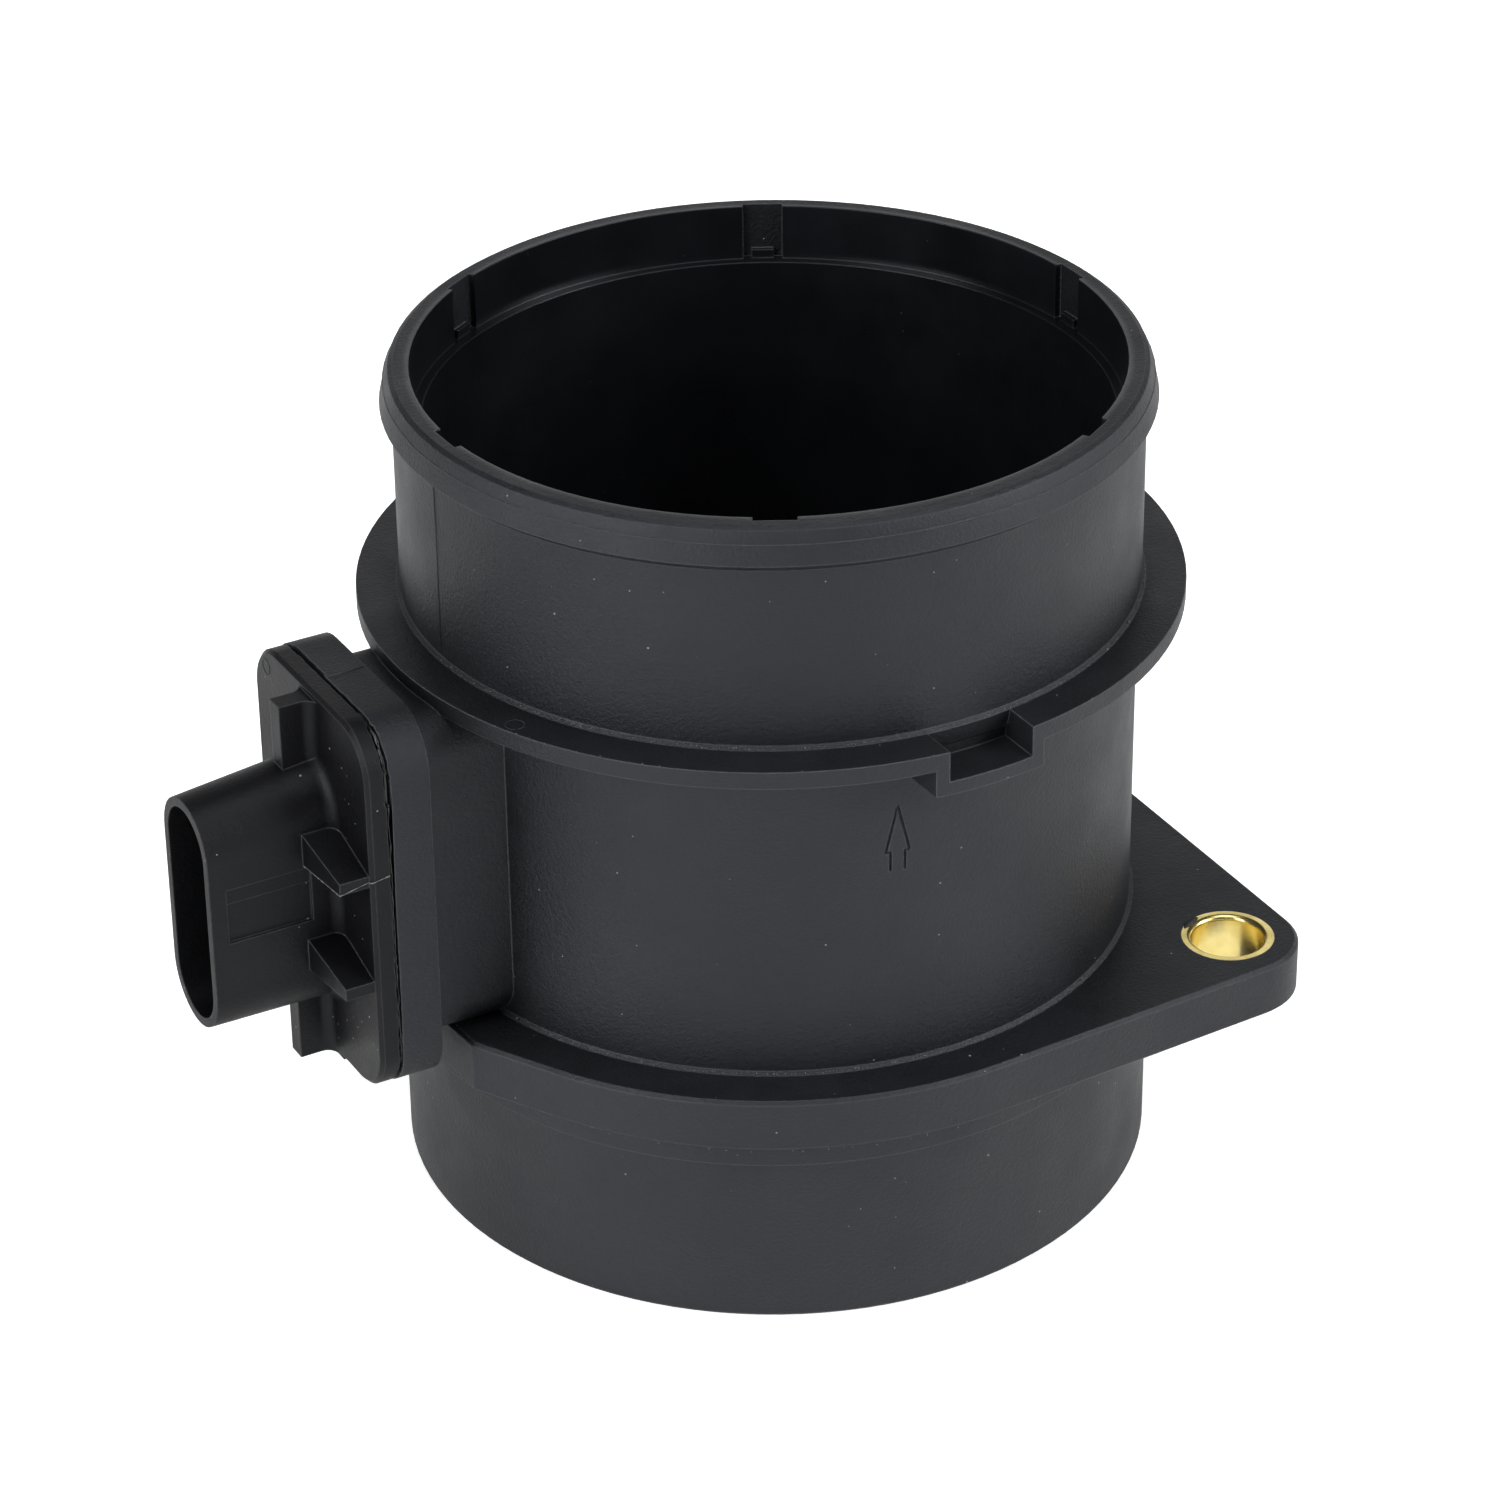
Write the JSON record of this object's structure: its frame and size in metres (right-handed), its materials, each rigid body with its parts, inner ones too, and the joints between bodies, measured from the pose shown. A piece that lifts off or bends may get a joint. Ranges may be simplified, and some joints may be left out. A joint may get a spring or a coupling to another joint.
{
  "type": "mass airflow sensor",
  "caption": "Moulded intake tube with a hose bead, a locating ring and a two-eared bolt flange, and a glued-in electrical head whose measuring arm crosses the bore.",
  "frame": {"origin": "centre of the inlet spigot's bottom face, on the tube axis", "axes": "+Z along the tube axis, the way the air flows, and -X towards the plug shroud"},
  "size_m": [0.103, 0.0808, 0.0849],
  "materials": {
    "black_plastic": "moulded, satin",
    "brass": "turned",
    "adhesive": "glossy where it squeezed out",
    "tinned_contact": "tin plated",
    "carrier_metal": "rolled",
    "ceramic_board": "fired ceramic",
    "chip_black": "moulded",
    "capacitor_ceramic": "fired",
    "film_chip": "polished silicon",
    "bond_metal": "drawn",
    "glass_bead": "glazed"
  },
  "bodies": {
    "root": {"housing": "black_plastic", "mounting_bushings": "brass", "flow_straightener": "black_plastic", "sensor_head": "black_plastic", "seal_bead": "adhesive", "terminal_1": "tinned_contact", "terminal_2": "tinned_contact", "terminal_3": "tinned_contact", "terminal_4": "tinned_contact", "terminal_5": "tinned_contact", "base_plate": "carrier_metal", "circuit_board": "ceramic_board", "control_chip": "chip_black", "chip_capacitors": "capacitor_ceramic", "chip_holder": "carrier_metal", "hot_film_chip": "film_chip", "bond_wires": "bond_metal", "electronics_cover": "black_plastic", "channel_cover": "black_plastic", "temperature_bead": "glass_bead", "temperature_leads": "tinned_contact"}
  },
  "joints": []
}
